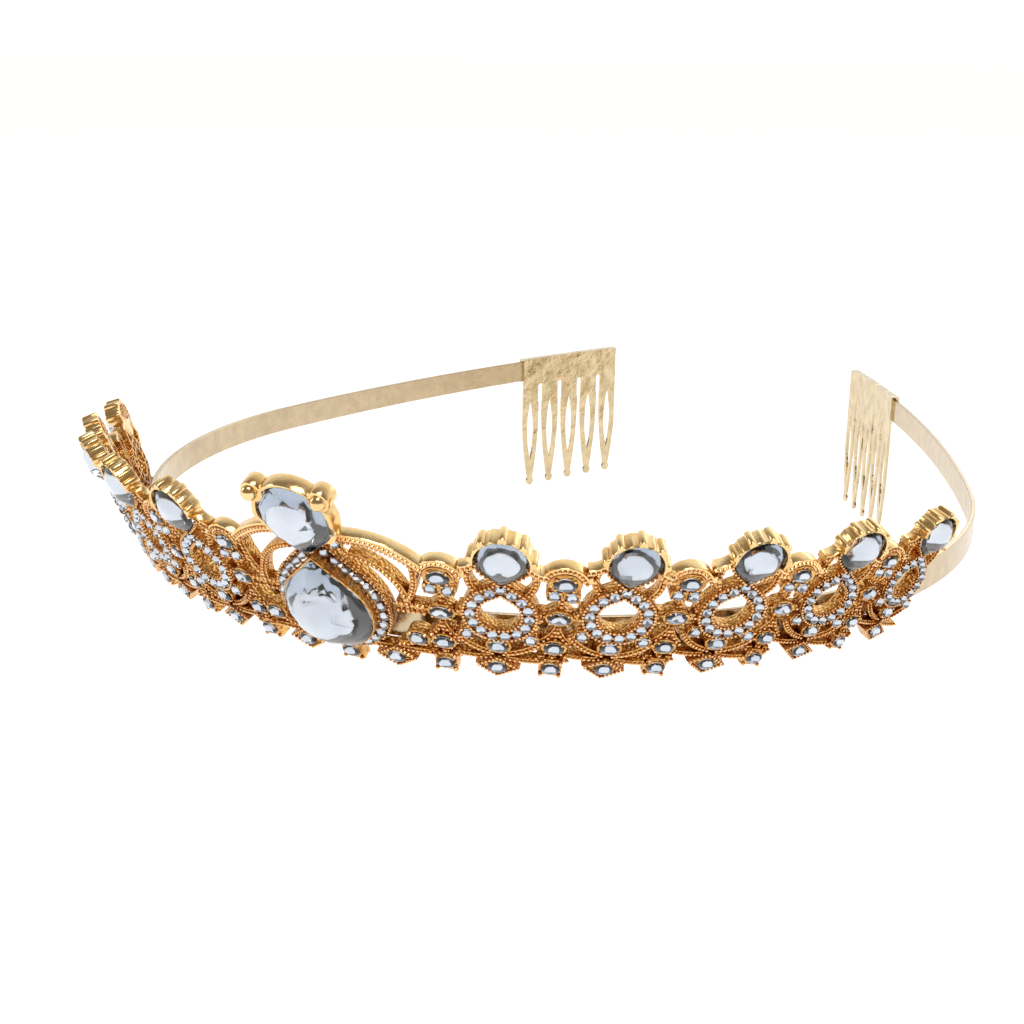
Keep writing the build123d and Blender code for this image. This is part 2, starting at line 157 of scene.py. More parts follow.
# %% Finish
class Finish:
    """The nodes of a material or of the world, under construction."""

    def __init__(self, owner, shader="Principled BSDF"):
        owner.use_nodes = True
        self.owner = owner
        self.tree = owner.node_tree
        self.shader = self.tree.nodes[shader]

    def add(self, kind, settings=None, inputs=None, out=0):
        """Makes a node: its settings first, a ramp's two stops among them, then its sockets."""
        node = self.tree.nodes.new(kind)
        for key, value in (settings or {}).items():
            if key == "stops":
                for element, (place, colour) in zip(node.color_ramp.elements, value):
                    element.position = place
                    element.color = (*colour, 1)
            else:
                setattr(node, key, value)
        for key, value in (inputs or {}).items():
            self.feed(node.inputs[key], value)
        return Wire(self, node.outputs[out])

    def feed(self, socket, value):
        if isinstance(value, Wire):
            self.tree.links.new(value.socket, socket)
        else:
            socket.default_value = value

    def ramp(self, wire, low, high, dark=(0, 0, 0), pale=(1, 1, 1)):
        """Dark up to one value of the wire, pale from another, and a blend between them."""
        return self.add("ShaderNodeValToRGB", {"stops": ((low, dark), (high, pale))}, {"Fac": wire}, "Color")

    def mix(self, factor, first, second):
        """Blends two colours; they are sockets 6 and 7 of the Mix node, and the result is output 2."""
        return self.add("ShaderNodeMix", {"data_type": "RGBA"}, {0: factor, 6: first, 7: second}, 2)

    def noise(self, scale, detail):
        """Noise in the object's own space, with its scale in features per metre."""
        place = self.add("ShaderNodeTexCoord", out="Object")
        values = {"Vector": place, "Scale": scale, "Detail": detail}
        return self.add("ShaderNodeTexNoise", None, values, "Fac")

    def pebbles(self, scale):
        """Distance from the middle of the nearest of many small round cells."""
        place = self.add("ShaderNodeTexCoord", out="Object")
        return self.add("ShaderNodeTexVoronoi", None, {"Vector": place, "Scale": scale}, "Distance")

    def bump(self, height, strength, distance):
        values = {"Height": height, "Strength": strength, "Distance": distance}
        return self.add("ShaderNodeBump", None, values, "Normal")

    def surface(self, **values):
        """Feeds the shader's own sockets and gives back the finished material or world."""
        for key, value in values.items():
            self.feed(self.shader.inputs[key.replace("_", " ")], value)
        return self.owner


def new_finish(name):
    return Finish(bpy.data.materials.new(name))


print("finish methods", [name for name in vars(Finish) if not name.startswith("_")])

# %% [markdown]
# ## Gold
# All the metal is gold plate, but it doesn't look alike. The cast openwork is a deep yellow
# that turns amber in its recesses, because gold that mirrors gold gets redder with each
# bounce. The strip and the combs are paler. One flat gold would do for a ring far away, but
# close up a plated casting is uneven. So a soft noise moves the colour, a finer one moves the
# gloss and the bump, and small pebbles with dark gaps give the castings their grained skin.
# The amber of the recesses is painted shade: ambient occlusion mixes it into the colour, because a few more
# bounces of light would cost more time and not show as clearly.

# %% Gold finishes
CLOUDS_PER_METRE = 420
PEBBLES_PER_METRE = 2100
RECESS_REACH = 0.0014      # metres to the facing wall of a recess that still darkens it


def darkened(colour, shares):
    """A colour with each channel cut to its own share, with full alpha."""
    return (*(channel * share for channel, share in zip(colour, shares)), 1)


def gold(name, bright, deep, gloss, skin, depth, painted_recess_shade=0.0, grained=0.0):
    """Gold plate: two colours mixed by noise, an uneven gloss, a fine or grained skin, and painted shade in
    its recesses.
    """
    finish = new_finish(name)
    cloud = finish.noise(CLOUDS_PER_METRE, 4)
    grain = finish.noise(skin, 3)
    colour = finish.mix(finish.ramp(cloud, 0.36, 0.66), (*bright, 1), (*deep, 1))
    height = grain
    if grained:
        cells = finish.pebbles(PEBBLES_PER_METRE)
        gap = finish.ramp(cells, 0.35, 0.75)
        colour = finish.mix(gap * grained, colour, darkened(deep, (0.6, 0.45, 0.35)))
        height = grain * 0.2 + (1 - cells) * 3
    if painted_recess_shade:
        # Painted shade: ambient occlusion mixes a darker amber into the colour in the recesses, in place of
        # the light that gold mirrors between its walls.
        shade = finish.add("ShaderNodeAmbientOcclusion", {"samples": 6}, {"Distance": RECESS_REACH}, "AO")
        colour = finish.mix((1 - shade) * painted_recess_shade, colour, darkened(deep, (0.6, 0.42, 0.3)))
    return finish.surface(
        Base_Color=colour,
        Metallic=1.0,
        Roughness=gloss + grain * 0.12,
        Normal=finish.bump(height, 0.35, depth),
    )


GOLD_CAST = gold(
    "gold_cast", (0.86, 0.55, 0.19), (0.70, 0.36, 0.10),
    gloss=0.15, skin=2600, depth=0.00022, painted_recess_shade=0.95, grained=0.7,
)
GOLD_BEAD = gold(
    "gold_bead", (0.90, 0.58, 0.27), (0.78, 0.42, 0.17),
    gloss=0.10, skin=1800, depth=0.00008, painted_recess_shade=0.9,
)
GOLD_RIM = gold(
    "gold_rim", (0.92, 0.69, 0.35), (0.86, 0.57, 0.24),
    gloss=0.13, skin=1300, depth=0.00012, painted_recess_shade=0.5,
)
GOLD_BAND = gold(
    "gold_band", (0.60, 0.48, 0.32), (0.52, 0.42, 0.28),
    gloss=0.16, skin=900, depth=0.00006,
)
GOLD_COMB = gold(
    "gold_comb", (0.70, 0.56, 0.35), (0.56, 0.45, 0.27),
    gloss=0.10, skin=190, depth=0.0022,
)
for finish in (GOLD_CAST, GOLD_BEAD, GOLD_RIM, GOLD_BAND, GOLD_COMB):
    print(finish.name, "nodes", len(finish.node_tree.nodes))

# %% [markdown]
# ## Crystal
# The stones are clear crystal with a silver foil behind. Light goes in through the crown,
# meets the foiled back, and comes out broken up by the facets. A bright metal stone would be
# quicker to render, but it has no depth. So a stone here is one closed mesh with two
# finishes: clear glass in front and a mirror on its pointed back.

# %% Crystal and foil
def crystal():
    """Clear glass, a touch blue, with a haze that is almost too faint to see."""
    finish = new_finish("crystal")
    haze = finish.noise(500, 2)
    return finish.surface(
        Base_Color=finish.mix(haze, (0.97, 0.985, 1.0, 1), (0.93, 0.96, 1.0, 1)),
        Roughness=haze * 0.02,
        Transmission_Weight=1.0,
        IOR=1.56,
    )


def foil():
    """Silver backing, duller in soft patches."""
    finish = new_finish("foil")
    patches = finish.noise(230, 1)
    return finish.surface(
        Base_Color=finish.mix(patches, (0.46, 0.51, 0.58, 1), (0.80, 0.84, 0.90, 1)),
        Metallic=1.0,
        Roughness=0.02 + patches * 0.04,
    )


CRYSTAL = crystal()
FOIL = foil()
FINISHES = [GOLD_CAST, GOLD_BEAD, GOLD_RIM, CRYSTAL, FOIL]
CAST, BEAD, RIM, CLEAR, BACK = range(5)
print("finishes on the pieces", [finish.name for finish in FINISHES])

# %% [markdown]
# ## Outlines
# Nearly every shape on the panel is an outline pushed forward. It could be drawn by hand as a
# curve, but a jeweller's shapes are simple ones, and a formula can also grow them by a wall or
# shrink them by a clearance. There are three: the pear that every drop and ring follows, the
# oval, and the arc through three points that the bars follow.

# %% Outlines
def pear_line(radius, point, grow=0.0, turned=False, count=72):
    """A round with two straight flanks that meet in a point, as evenly spaced points from the tip."""
    point *= (radius + grow) / radius
    radius += grow
    slope = math.asin(radius / point)
    flank, sweep = point * math.cos(slope), math.pi + 2 * slope
    total = 2 * flank + radius * sweep
    line = []
    for k in range(count):
        s = total * k / count
        if s < flank:
            x, y = -s * math.sin(slope), point - s * math.cos(slope)
        elif s > total - flank:
            x, y = (total - s) * math.sin(slope), point - (total - s) * math.cos(slope)
        else:
            a = math.pi - slope + (s - flank) / radius
            x, y = radius * math.cos(a), radius * math.sin(a)
        line.append((-x, -y) if turned else (x, y))
    return line


def oval_line(width, height, grow=0.0, count=28):
    """An ellipse, grown evenly by an allowance."""
    turns = [2 * math.pi * k / count for k in range(count)]
    return [((width / 2 + grow) * math.cos(a), (height / 2 + grow) * math.sin(a)) for a in turns]


def arc_line(start, middle, end, count=14):
    """Points on the circle through three points, which aren't in line."""
    a, b, c = (complex(*p) for p in (start, middle, end))
    w = (c - a) / (b - a)
    centre = (b - a) * (w - abs(w) ** 2) / (2j * w.imag) + a
    low = math.atan2((a - centre).imag, (a - centre).real)
    high = math.atan2((c - centre).imag, (c - centre).real)
    mid = math.atan2((b - centre).imag, (b - centre).real)
    full = 2 * math.pi
    sweep = (high - low) % full
    if (mid - low) % full > sweep:
        sweep -= full
    radius = abs(a - centre)
    turns = [low + sweep * k / count for k in range(count + 1)]
    return [(centre.real + radius * math.cos(t), centre.imag + radius * math.sin(t)) for t in turns]


print("pear points", len(pear_line(3.8, 4.6)))

# %% [markdown]
# Four helpers work on any outline: one shifts it, one mirrors it, one widens a path into a
# strap, and one spaces points evenly along it, which is how a row of beads or stones is laid
# out. Blender's Array modifier could repeat a bead along a curve, but here each place is also
# needed on its own, for the seat and the stone.

# %% Lines moved, widened and spaced
def moved(line, x, y):
    return [(px + x, py + y) for px, py in line]


def flipped(line, side):
    """The same line for side 1, and its mirror image for side -1."""
    return [(side * x, y) for x, y in line]


def strap_line(path, width):
    """Outline of a strap of even width along a path."""
    p = np.array(path)
    run = np.gradient(p, axis=0)
    run /= np.linalg.norm(run, axis=1)[:, None]
    side = np.stack([-run[:, 1], run[:, 0]], axis=1) * width / 2
    return [tuple(q) for q in np.concatenate([p + side, (p - side)[::-1]])]


def spaced(line, pitch, closed=True):
    """Points at an even pitch along a line, fitted to a whole number of steps."""
    p = np.array(line + line[:1] if closed else line)
    steps = np.linalg.norm(np.diff(p, axis=0), axis=1)
    along = np.concatenate([[0], np.cumsum(steps)])
    count = max(2, round(along[-1] / pitch))
    at = np.linspace(0, along[-1], count, endpoint=False) if closed else np.linspace(0, along[-1], count)
    return list(zip(np.interp(at, along, p[:, 0]), np.interp(at, along, p[:, 1])))


print("beads on a pear", len(spaced(pear_line(3.8, 4.6), 0.64)))

# %% [markdown]
# ## A mesh bench
# A casting has hundreds of small shapes. One Blender object for each, joined in the end,
# would be slow, so a bench collects plain lists of vertices and faces in flat panel
# millimetres, and makes one mesh when the piece is done. Each casting's bench has two trays,
# for its small and its large stones, because stones are pieces of their own.

# %% Bench: walls and plates
class Bench:
    """Vertices, faces and face finishes of a casting, with trays for its small and large stones."""

    def __init__(self, trays=True):
        self.points = []
        self.faces = []
        self.finishes = []
        self.smooth = []
        self.wells = []
        self.small = type(self)(False) if trays else None
        self.large = type(self)(False) if trays else None

    def take(self, points, faces, finish, smooth=True):
        """Adds a shape's vertices and faces."""
        base = len(self.points)
        self.points += [tuple(p) for p in points]
        self.faces += [tuple(i + base for i in f) for f in faces]
        self.finishes += [finish] * len(faces)
        self.smooth += [smooth] * len(faces)

    def merge(self, other, matrix):
        """Takes over another bench's work and its stones, moved by a matrix."""
        for mine, theirs in ((self.small, other.small), (self.large, other.large)):
            if mine and theirs:
                mine.merge(theirs, matrix)
        base = len(self.points)
        self.points += [tuple(matrix @ Vector(p)) for p in other.points]
        self.faces += [tuple(i + base for i in f) for f in other.faces]
        self.finishes += other.finishes
        self.smooth += other.smooth

    def levels(self, rings, finish, end=True):
        """Walls between successive outlines of equal length, closed at the start, each with its height."""
        count = len(rings[0][0])
        points = []
        for line, height in rings:
            points += [(x, y, height(x, y) if callable(height) else height) for x, y in line]
        faces = []
        for level in range(len(rings) - 1):
            low, high = level * count, (level + 1) * count
            for k in range(count):
                n = (k + 1) % count
                faces.append((low + k, low + n, high + n, high + k))
        faces.append(tuple(reversed(range(count))))
        if end:
            faces.append(tuple(range((len(rings) - 1) * count, len(rings) * count)))
        self.take(points, faces, finish)

    def plate(self, lines, low, high, finish, edge=0.22):
        """A plate with rounded edges from outlines; an outline inside another is a hole."""
        curve = bpy.data.curves.new("outline", "CURVE")
        curve.dimensions = "2D"
        curve.fill_mode = "BOTH"
        curve.extrude = max((high - low) / 2 - edge, 0.01)
        curve.bevel_depth = edge
        curve.bevel_resolution = 1
        curve.offset = -edge
        for line in lines:
            spline = curve.splines.new("POLY")
            spline.points.add(len(line) - 1)
            spline.points.foreach_set("co", [v for x, y in line for v in (x, y, 0, 1)])
            spline.use_cyclic_u = True
        holder = bpy.data.objects.new("outline", curve)
        mesh = bpy.data.meshes.new_from_object(holder)
        middle = (high + low) / 2
        points = [(v.co.x, v.co.y, v.co.z + middle) for v in mesh.vertices]
        self.take(points, [tuple(p.vertices) for p in mesh.polygons], finish)
        bpy.data.objects.remove(holder)
        bpy.data.curves.remove(curve)
        bpy.data.meshes.remove(mesh)


print("bench moves", [name for name in vars(Bench) if not name.startswith("_")])

# %% [markdown]
# Beading, or milgrain, is what makes a casting look like jewellery: tiny balls along every
# edge. A bump map could suggest them, but they stand out against the light along the rim, so
# they are real. Each is a ball of few faces, smooth shaded, because there are thousands. A row
# leaves out the beads that would fall into a stone's seat.

# %% Bench: beads and straps
GRAIN = 0.29               # radius of a bead of milgrain


class BeadBench(Bench):
    """A bench that can also lay beads, and bars with a row of beads along them."""

    def bead(self, x, y, height, radius, finish=BEAD, segments=8, rings=4):
        """A ball, with its middle at a height above the back of the panel."""
        points = [(x, y, height + radius)]
        for r in range(1, rings):
            a = math.pi * r / rings
            for k in range(segments):
                t = 2 * math.pi * (k + 0.5 * (r % 2)) / segments
                ring = radius * math.sin(a)
                points.append((x + ring * math.cos(t), y + ring * math.sin(t), height + radius * math.cos(a)))
        points.append((x, y, height - radius))
        faces = [(0, 1 + k, 1 + (k + 1) % segments) for k in range(segments)]
        for r in range(rings - 2):
            low = 1 + r * segments
            for k in range(segments):
                n = (k + 1) % segments
                faces.append((low + k, low + segments + k, low + segments + n, low + n))
        last, low = len(points) - 1, 1 + (rings - 2) * segments
        faces += [(last, low + (k + 1) % segments, low + k) for k in range(segments)]
        self.take(points, faces, finish)

    def in_a_well(self, x, y):
        """Whether a bead here would stand in the seat of a stone that is already set."""
        return any(((x - a) / (w / 2)) ** 2 + ((y - b) / (h / 2)) ** 2 <= 1.1 for a, b, w, h in self.wells)

    def beads(self, line, height, radius, pitch=None, closed=True):
        """Milgrain: a row of small beads set close together along a line."""
        for x, y in spaced(line, pitch or radius * 2.2, closed):
            if not self.in_a_well(x, y):
                self.bead(x, y, height, radius)

    def strap(self, path, width, low, high, finish=CAST, grain=True):
        """A flat bar along a path, with a row of milgrain down its middle."""
        self.plate([strap_line(path, width)], low, high, finish, 0.2)
        if grain:
            self.beads(path, high + 0.05, GRAIN, closed=False)


print("bead moves", [name for name in vars(BeadBench) if not name.startswith("_")])

# %% [markdown]
# A cut stone is rows of flat facets between a table in front and a point behind. Blender has a
# gem in its extra meshes, but only a round one, and here pears and ovals are needed. So the
# outline's own points, pulled in towards the middle, make each row. The back's rows vary a
# little in depth, because pressed crystal is never exact and even facets would flash all
# together. The rim and front are clear, the back is foiled, and every face stays flat.

# %% Bench: stones and settings
CUT = random.Random(7)
PRONGS = 4
SEAT_FLOOR = PLATE - 0.6   # how high the small stones sit


class JewelBench(BeadBench):
    """A bench that can also cut stones and set them."""

    def gem(self, line, x, y, floor, girdle, crown, back, table=0.5, rows=(0.5,)):
        """A cut stone on an outline: table, star and kite facets, girdle and a pointed back."""
        count = len(line) // 2
        cx = sum(p[0] for p in line) / len(line) + x
        cy = sum(p[1] for p in line) / len(line) + y
        rim = [(px + x, py + y) for px, py in line]

        def toward(point, share):
            return cx + (point[0] - cx) * share, cy + (point[1] - cy) * share

        top, mid = floor + girdle, (1 + table) / 2
        points = [(*toward(rim[2 * k], table), top + crown) for k in range(count)]
        points += [(*toward(rim[2 * k + 1], mid), top + crown * 0.62) for k in range(count)]
        points += [(*p, top) for p in rim] + [(*p, floor) for p in rim]
        for row, share in enumerate(rows):
            for k in range(count):
                depth = min(back, back * (1 - share) * CUT.uniform(0.55, 1.45))
                corner = rim[(2 * k + 1 + row) % (2 * count)]
                points.append((*toward(corner, share), floor - depth))
        points.append((cx, cy, floor - back))
        front, rear = self.facets(count, len(rows), len(points) - 1)
        self.take(points, front + rear, CLEAR, False)
        base = len(self.finishes) - len(rear)
        self.finishes[base:] = [BACK] * len(rear)

    def facets(self, count, rows, culet):
        """Faces of a stone whose rows of points come in order: table, star, rim twice, back."""
        star, rim_top, rim_low = count, 2 * count, 4 * count
        front, rear = [tuple(range(count))], []
        for k in range(count):
            n, b = (k + 1) % count, (k - 1) % count
            g, h, j = 2 * k, 2 * k + 1, (2 * k + 2) % (2 * count)
            front += [(k, star + k, n), (k, star + b, rim_top + g), (k, rim_top + g, star + k)]
            front += [(star + k, rim_top + g, rim_top + h), (star + k, rim_top + h, rim_top + j)]
            front += [(rim_top + a, rim_low + a, rim_low + c, rim_top + c) for a, c in ((g, h), (h, j))]
            keel = 6 * count
            rear += [(rim_low + g, keel + k, rim_low + h), (rim_low + h, keel + k, rim_low + j)]
            rear.append((rim_low + g, keel + b, keel + k))
            for row in range(1, rows):
                upper, keel = keel, keel + count
                shift = 0 if row % 2 else 1
                nearer = (k + shift) % count
                rear.append((upper + nearer, keel + k, upper + (nearer + 1) % count))
                rear.append((upper + (nearer + 1) % count, keel + k, keel + n))
            rear.append((keel + k, culet, keel + n))
        return front, rear

    def setting(self, x, y, width, height, wall=0.42):
        """A collar with prongs, and the round or oval stone that it holds."""
        outside, inside = oval_line(width, height, wall, 24), oval_line(width, height, -0.12, 20)
        self.plate([moved(outside, x, y), moved(inside, x, y)], 0.0, PLATE + 0.05, CAST, 0.14)
        self.stone(x, y, width, height, SEAT_FLOOR)
        for k in range(PRONGS):
            a = 2 * math.pi * (k + 0.5) / PRONGS
            px = x + (width / 2 + 0.12) * math.cos(a)
            py = y + (height / 2 + 0.12) * math.sin(a)
            self.bead(px, py, PLATE + 0.12, 0.27)

    def stone(self, x, y, width, height, floor):
        """A small round or oval stone in the tray, and a note of where its seat is."""
        sides = 8 if max(width, height) > 2 else 6
        line = oval_line(width, height, 0, 2 * sides)
        self.small.gem(line, x, y, floor + 0.75, 0.06, 0.39, 0.42, 0.5)
        self.wells.append((x, y, width, height))

    def seats(self, places):
        """Outlines of the holes that a plate needs under a row of round stones."""
        return [moved(oval_line(PAVE, PAVE, -0.1, 10), x, y) for x, y in places]


print("jewel moves", [name for name in vars(JewelBench) if not name.startswith("_")])

# %% [markdown]
# ## Wearing a piece
# A finished bench is worn on the panel: its points go through the casting's matrix, and the
# object itself stays at the origin like the frame's own. The same bench can be worn many
# times, so ten motifs are drawn once. Each piece then says which body it rides on and which
# plain nodes it stands for.

# %% Wear
SHARP_FROM = math.radians(38)


def wear(bench, name, matrix, nodes):
    """Carries bench work onto the panel as one piece that stands for its plain nodes."""
    mesh = bpy.data.meshes.new(name)
    mesh.from_pydata([tuple(matrix @ Vector(p)) for p in bench.points], [], bench.faces)
    for finish in FINISHES:
        mesh.materials.append(finish)
    mesh.polygons.foreach_set("material_index", bench.finishes)
    mesh.polygons.foreach_set("use_smooth", bench.smooth)
    mesh.validate()
    work = bmesh.new()
    work.from_mesh(mesh)
    bmesh.ops.recalc_face_normals(work, faces=work.faces)
    work.to_mesh(mesh)
    work.free()
    mesh.set_sharp_from_angle(angle=SHARP_FROM)
    piece = bpy.data.objects.new(name, mesh)
    bpy.context.scene.collection.objects.link(piece)
    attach(piece, "root")
    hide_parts(*nodes)


def graded(side, step):
    """The place of a side casting: its step along the hem, and its size there."""
    size = grade(step)
    return panel_matrix(side * step) @ Matrix.Diagonal((size, size, 1, 1))


print("sharp from degrees", round(math.degrees(SHARP_FROM)))

# %% [markdown]
# ## The side motif
# One motif is a teardrop ring of small stones round an opening, with a pear stone in a deep
# scalloped cup above it, leaf settings at its sides and a diamond on the hem below. All its
# sizes are millimetres, and its heights are above its stone on the hem. They could stand in
# the calls that use them, but the links and the centre share several.

# %% Motif sizes
RING_RISE, OPENING_RADIUS, OPENING_POINT, RING_WIDTH = 10.6, 2.9, 3.5, 2.5
PEAR_RISE, PEAR_RADIUS, PEAR_POINT = 21.1, 3.8, 4.6
CUP_WALL, CUP_LOW, CUP_FRONT, RIB, RIB_TURN = 0.45, 0.2, 3.0, 0.6, 42
PAVE, ROUND, RING_PITCH = 1.55, 1.8, 1.79
HEM_OVAL, LOWER_OVAL = (2.8, 2.2), (2.9, 2.2)
MIDDLE_OVAL, CLUSTER_OVAL = (3.3, 2.2), (3.3, 2.4)
LOWER_RISE, MIDDLE_RISE, RIM_RISE = 4.3, 10.3, 18.3
DEEP = 0.05
FRONT = PLATE - 0.1
PLATE_TOP = PLATE - 0.15


def diamond(half_width, half_height):
    return [(half_width, 0), (0, half_height), (-half_width, 0), (0, -half_height)]


def pad(half_width):
    """Outline of the block behind a casting that is soldered to the band."""
    return [(-half_width, 1.9), (half_width, 1.9), (half_width, 5.2), (-half_width, 5.2)]


def solder_pad(bench, half_width, front):
    bench.plate([pad(half_width)], -1.6, front, CAST)


def hem_plate(bench, outline, rise=0.0):
    """A small plate on the hem, open in its middle, and the oval stone in it."""
    hole = moved(oval_line(*HEM_OVAL, -0.15, 20), 0, rise)
    bench.plate([moved(outline, 0, rise), hole], 0, PLATE_TOP, CAST, 0.12)
    bench.stone(0, rise, *HEM_OVAL, SEAT_FLOOR)


print("ring stones", len(spaced(pear_line(OPENING_RADIUS, OPENING_POINT, RING_WIDTH / 2), RING_PITCH)))

# %% [markdown]
# The cup is a deep collar round the top of the pear stone, and five ribs run up its outside,
# each ending in a ball. It could be a cylinder with rods stuck on, but then the joints show.
# Here the wall is one outline that bulges at each rib, stacked at several heights, and the
# height of the upper levels changes along the outline: full round the top, and down to the
# plate along the flanks, where only a row of beads holds the stone.

# %% The pear cup
def scalloped(wall, share=1.0, count=220):
    """The cup's outline: five ribs round its top with a slighter one between each two."""
    line = []
    for x, y in pear_line(PEAR_RADIUS, PEAR_POINT, wall, True, count):
        turn = (math.degrees(math.atan2(y, x)) - 90 + 180) % 360 - 180
        reach = 0.0
        if abs(turn) < 2.3 * RIB_TURN:
            off = (turn + RIB_TURN / 2) % RIB_TURN - RIB_TURN / 2
            across = math.radians(off) * (PEAR_RADIUS + CUP_WALL) / RIB
            reach = RIB * math.sqrt(max(0, 1 - across * across))
            between = (turn % RIB_TURN) / RIB_TURN - 0.5
            if abs(turn) < 2 * RIB_TURN:
                reach = max(reach, 0.16 * math.exp(-((between / 0.1) ** 2)))
        length = math.hypot(x, y)
        line.append((x * (1 + share * reach / length), y * (1 + share * reach / length)))
    return moved(line, 0, PEAR_RISE)


def collar(front):
    """Height of the collar: full round the top of the cup and low along its flanks."""
    def height(x, y):
        share = min(1, max(0, (y - PEAR_RISE + 1.5) / 0.9))
        return PLATE_TOP + (front - PLATE_TOP) * share * share * (3 - 2 * share)

    return height


def cup(bench):
    """A deep cup with ribs on its wall, a ball on the front of each rib and a closed back."""
    inner = moved(pear_line(PEAR_RADIUS, PEAR_POINT, 0.05, True, 220), 0, PEAR_RISE)
    levels = [
        (scalloped(0.1, 0.6), CUP_LOW),
        (scalloped(0.36, 0.9), CUP_LOW + 0.1),
        (scalloped(CUP_WALL), CUP_LOW + 0.4),
        (scalloped(CUP_WALL), collar(CUP_FRONT - 0.35)),
        (scalloped(0.4, 0.9), collar(CUP_FRONT - 0.1)),
        (scalloped(0.28, 0.55), collar(CUP_FRONT)),
        (inner, collar(CUP_FRONT - 0.12)),
        (inner, 0.85),
    ]
    bench.levels(levels, RIM)
    reach = PEAR_RADIUS + 0.42
    for k in range(-2, 3):
        a = math.radians(90 + RIB_TURN * k)
        bench.bead(reach * math.cos(a), PEAR_RISE + reach * math.sin(a), CUP_FRONT - 0.44, 0.48, RIM, 14, 8)
    edge = moved(pear_line(PEAR_RADIUS, PEAR_POINT, 0.3, True), 0, PEAR_RISE)
    flank = [(x, y) for x, y in edge if y < PEAR_RISE - 1.4]
    for x, y in flank[::2]:
        bench.bead(x, y, PLATE + 0.05, 0.27)


def fan_back(bench):
    """Fan ribs cast into the closed back of the cup."""
    for k in range(-4, 5):
        a = math.radians(90 + 19 * k)
        path = [(r * math.cos(a), PEAR_RISE + r * math.sin(a)) for r in (0.4, 1.6, 3.4)]
        bench.plate([strap_line(path, 0.5)], 0.0, 0.4, CAST, 0.12)


print("cup outline points", len(scalloped(CUP_WALL)))

# %% [markdown]
# The ring is a plate with an opening and a seat hole under each small stone. Without the
# holes the gold would show through the clear stones. Beading runs along both its edges, with
# a tiny bead between each two stones, as a setter raises it to hold them.

# %% Ring, hem and side settings
def ring_line(grow):
    return moved(pear_line(OPENING_RADIUS, OPENING_POINT, grow), 0, RING_RISE)


def ring_and_hem(bench):
    """The ring of small stones, the stones below it, and the beading between and round them."""
    places = spaced(ring_line(RING_WIDTH / 2), RING_PITCH)
    bench.plate([ring_line(RING_WIDTH), ring_line(0), *bench.seats(places)], 0, PLATE_TOP, CAST, 0.16)
    for x, y in places:
        bench.stone(x, y, PAVE, PAVE, SEAT_FLOOR)
    bench.setting(0, LOWER_RISE, *LOWER_OVAL)
    hem_plate(bench, diamond(3.2, 2.05))
    for side in (-1, 1):
        bench.setting(side * 4.45, 6.3, ROUND, ROUND, wall=0.3)
    bench.beads(ring_line(0.26), PLATE, GRAIN)
    bench.beads(ring_line(RING_WIDTH - 0.28), PLATE, GRAIN)
    bench.beads(diamond(2.9, 1.85), PLATE, 0.27)
    for (x, y), (nx, ny) in zip(places, places[1:] + places[:1]):
        bench.bead((x + nx) / 2, (y + ny) / 2, PLATE + 0.08, 0.2)


def bars(bench):
    """The bars that join a motif to its neighbours, drawn for one side and mirrored."""
    swag = arc_line((0.8, 2.4), (3.5, 3.3), (6.0, 5.5))
    curl = arc_line((3.4, 14.4), (4.5, 16.1), (4.6, 18.2))
    rim = arc_line((3.2, 20.2), (4.3, 18.9), (6.0, RIM_RISE))
    tab = arc_line((4.8, MIDDLE_RISE), (5.3, MIDDLE_RISE + 0.01), (5.8, MIDDLE_RISE))
    hem = arc_line((1.0, 1.5), (3.4, 1.3), (5.9, 1.5))
    for side in (-1, 1):
        bench.strap(flipped(swag, side), 1.1, 0, PLATE - 0.35)
        bench.strap(flipped(curl, side), 1.1, 0, PLATE - 0.2)
        bench.strap(flipped(rim, side), 1.15, DEEP, FRONT, RIM)
        bench.strap(flipped(tab, side), 2.0, 0, PLATE - 0.3)
        bench.strap(flipped(hem, side), 0.9, 0, PLATE - 0.4)


print("opening points", len(ring_line(0)))

# %% [markdown]
# The motif is put together flat, once, in the order that a bench jeweller would take: ring and
# hem, cup, stone, bars, and the pad that is soldered to the band. Ten copies with their own
# meshes are worn on the panel, a little smaller towards the ends. Linked copies would save
# memory, but here each mesh already holds its own place on the panel.

# %% Motifs
def motif():
    bench = JewelBench()
    ring_and_hem(bench)
    cup(bench)
    fan_back(bench)
    pear = pear_line(PEAR_RADIUS, PEAR_POINT, -0.02, True, 18)
    bench.large.gem(pear, 0, PEAR_RISE, 2.05, 0.15, 1.6, 1.15, 0.42, (0.74, 0.42))
    bars(bench)
    solder_pad(bench, 1.4, 0.4)
    return bench


MOTIF = motif()
for side_name, side in SIDES:
    for number, step in enumerate(MOTIF_STEPS, 1):
        place = graded(side, step)
        tail = f"{side_name}_{number}"
        wear(MOTIF, f"cast_motif_{tail}", place, [f"motif_{tail}"])
        wear(MOTIF.large, f"pear_gem_{tail}", place, [f"pear_stone_{tail}"])
        wear(MOTIF.small, f"motif_gems_{tail}", place, [f"motif_stones_{tail}"])
print("motif faces", len(MOTIF.faces))

# %% [markdown]
# ## The link
# Between two motifs sits a narrow casting: a cluster of three stones under a bump of the rim,
# an oval in the middle, another below it, and a small square on the hem. It could be part of
# the motif, but the real pieces are soldered together here, so it is a piece of its own. It
# takes the same settings, straps and beads.

# %% Links
def square(half):
    return [(half, half), (-half, half), (-half, -half), (half, -half)]


